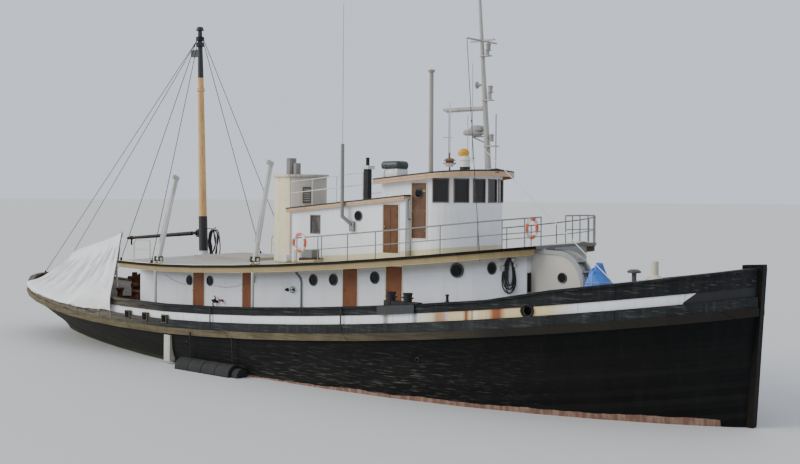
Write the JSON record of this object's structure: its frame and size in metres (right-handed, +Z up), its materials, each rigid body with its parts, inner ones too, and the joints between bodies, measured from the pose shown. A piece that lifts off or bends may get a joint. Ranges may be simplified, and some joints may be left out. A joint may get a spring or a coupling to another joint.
{
  "type": "general cargo vessel converted from an ocean tug",
  "caption": "Wooden cargo vessel with a black hull, long white deckhouse, round-fronted wheelhouse, oval funnel, derrick mast with a boom, opening doors, rudder and propeller.",
  "frame": {"origin": "on the centreline at the waterline, halfway along the hull", "axes": "+X to the bow, +Y to port, +Z up"},
  "size_m": [38.39, 9.135, 19.5031],
  "materials": {
    "black_hull_paint": "matt, weathered",
    "weathered_timber": "rough, bleached",
    "white_paint": "satin",
    "cream_paint": "satin",
    "grey_paint": "satin",
    "varnished_doors": "varnished",
    "varnished_spar": "varnished",
    "white_metal": "satin",
    "cream_metal": "satin",
    "black_metal": "satin",
    "galvanised_metal": "dull",
    "rusty_iron": "rusted",
    "dark_iron": "painted",
    "bronze": "dull",
    "canvas": "woven",
    "blue_tarpaulin": "coated",
    "black_rubber": "matt",
    "orange_ring": "satin"
  },
  "bodies": {
    "vessel": {"hull": "black_hull_paint", "guard_upper": "black_hull_paint", "bulwark_strake_starboard": "black_hull_paint", "bulwark_strake_port": "black_hull_paint", "rail_cap_starboard": "black_hull_paint", "rail_cap_port": "black_hull_paint", "stem": "black_hull_paint", "guard_lower": "weathered_timber", "fender_plank": "weathered_timber", "bulwark_stripe": "white_paint", "main_deckhouse": "white_paint", "upper_house": "white_paint", "wheelhouse": "white_paint", "foredeck_trunk": "white_paint", "boat_deck": "cream_paint", "deck_edge_fascia": "cream_paint", "upper_roof": "cream_paint", "wheelhouse_roof": "cream_paint", "arched_front": "grey_paint", "front_steps": "grey_paint", "mushroom_vent": "grey_paint", "derrick_mast": "varnished_spar", "awning_frame": "varnished_spar", "foremast": "white_metal", "deck_rail_starboard": "white_metal", "deck_rail_port": "white_metal", "forestay": "white_metal", "funnel": "cream_metal", "cone_vent": "cream_metal", "stove_chimney": "black_metal", "mast_stays": "black_metal", "roof_locker": "black_metal", "galley_pipe": "galvanised_metal", "funnel_pipes": "galvanised_metal", "towing_winch": "rusty_iron", "bitts_starboard": "dark_iron", "bitts_port": "dark_iron", "stern_canvas": "canvas", "foredeck_tarp": "blue_tarpaulin", "rubber_fender": "black_rubber", "life_ring_aft": "orange_ring", "life_ring_fore": "orange_ring"},
    "house_door_1_starboard": {"house_door_1_starboard": "varnished_doors"},
    "house_door_1_port": {"house_door_1_port": "varnished_doors"},
    "house_door_2_starboard": {"house_door_2_starboard": "varnished_doors"},
    "house_door_2_port": {"house_door_2_port": "varnished_doors"},
    "house_door_3_starboard": {"house_door_3_starboard": "varnished_doors"},
    "house_door_3_port": {"house_door_3_port": "varnished_doors"},
    "house_door_4_starboard": {"house_door_4_starboard": "varnished_doors"},
    "house_door_4_port": {"house_door_4_port": "varnished_doors"},
    "upper_door_starboard": {"upper_door_starboard": "varnished_doors"},
    "upper_door_port": {"upper_door_port": "varnished_doors"},
    "wheelhouse_door_starboard": {"wheelhouse_door_starboard": "varnished_doors"},
    "wheelhouse_door_port": {"wheelhouse_door_port": "varnished_doors"},
    "rudder": {"rudder": "black_hull_paint"},
    "propeller": {"propeller": "bronze"},
    "gooseneck": {"boom_gooseneck": "black_metal"},
    "boom": {"cargo_boom": "black_metal"},
    "davit_aft": {"davit_aft": "white_metal"},
    "davit_fore": {"davit_fore": "white_metal"}
  },
  "joints": [
    {"name": "house_door_1_starboard_hinge", "type": "hinge", "parent": "vessel", "child": "house_door_1_starboard", "pos_m": [-3.0606, -3, 2.85], "axis": [0, 0, 1], "range_deg": [0, 100]},
    {"name": "house_door_1_port_hinge", "type": "hinge", "parent": "vessel", "child": "house_door_1_port", "pos_m": [-3.0606, 3, 2.85], "axis": [0, 0, -1], "range_deg": [0, 100]},
    {"name": "house_door_2_starboard_hinge", "type": "hinge", "parent": "vessel", "child": "house_door_2_starboard", "pos_m": [-0.1406, -3, 3.04], "axis": [0, 0, 1], "range_deg": [0, 100]},
    {"name": "house_door_2_port_hinge", "type": "hinge", "parent": "vessel", "child": "house_door_2_port", "pos_m": [-0.1406, 3, 3.04], "axis": [0, 0, -1], "range_deg": [0, 100]},
    {"name": "house_door_3_starboard_hinge", "type": "hinge", "parent": "vessel", "child": "house_door_3_starboard", "pos_m": [5.4294, -3, 3.39], "axis": [0, 0, 1], "range_deg": [0, 100]},
    {"name": "house_door_3_port_hinge", "type": "hinge", "parent": "vessel", "child": "house_door_3_port", "pos_m": [5.4294, 3, 3.39], "axis": [0, 0, -1], "range_deg": [0, 100]},
    {"name": "house_door_4_starboard_hinge", "type": "hinge", "parent": "vessel", "child": "house_door_4_starboard", "pos_m": [7.5294, -3, 3.55], "axis": [0, 0, 1], "range_deg": [0, 100]},
    {"name": "house_door_4_port_hinge", "type": "hinge", "parent": "vessel", "child": "house_door_4_port", "pos_m": [7.5294, 3, 3.55], "axis": [0, 0, -1], "range_deg": [0, 100]},
    {"name": "upper_door_starboard_hinge", "type": "hinge", "parent": "vessel", "child": "upper_door_starboard", "pos_m": [6.6694, -2.2, 5.685], "axis": [0, 0, 1], "range_deg": [0, 100]},
    {"name": "upper_door_port_hinge", "type": "hinge", "parent": "vessel", "child": "upper_door_port", "pos_m": [6.6694, 2.2, 5.685], "axis": [0, 0, -1], "range_deg": [0, 100]},
    {"name": "wheelhouse_door_starboard_hinge", "type": "hinge", "parent": "vessel", "child": "wheelhouse_door_starboard", "pos_m": [7.7394, -1.95, 6.35], "axis": [0, 0, 1], "range_deg": [0, 100]},
    {"name": "wheelhouse_door_port_hinge", "type": "hinge", "parent": "vessel", "child": "wheelhouse_door_port", "pos_m": [7.7394, 1.95, 6.35], "axis": [0, 0, -1], "range_deg": [0, 100]},
    {"name": "rudder_steer", "type": "hinge", "parent": "vessel", "child": "rudder", "pos_m": [-16.45, 0, -2.6], "axis": [0, 0, 1], "range_deg": [-35, 35]},
    {"name": "propeller_turn", "type": "hinge", "parent": "vessel", "child": "propeller", "pos_m": [-15.75, 0, -2.75], "axis": [1, 0, 0], "continuous": true},
    {"name": "boom_slew", "type": "hinge", "parent": "vessel", "child": "gooseneck", "pos_m": [-7.12249, 0, 5.12], "axis": [0, 0, 1], "range_deg": [-40, 40]},
    {"name": "boom_topping", "type": "hinge", "parent": "gooseneck", "child": "boom", "pos_m": [-7.31248, 0, 5.12], "axis": [0, 1, 0], "range_deg": [0, 60]},
    {"name": "davit_aft_luff", "type": "hinge", "parent": "vessel", "child": "davit_aft", "pos_m": [-4.95, -3.85, 4.1901], "axis": [1, 0, 0], "range_deg": [0, 35]},
    {"name": "davit_fore_luff", "type": "hinge", "parent": "vessel", "child": "davit_fore", "pos_m": [0.95, -3.85, 4.41497], "axis": [1, 0, 0], "range_deg": [0, 35]}
  ]
}
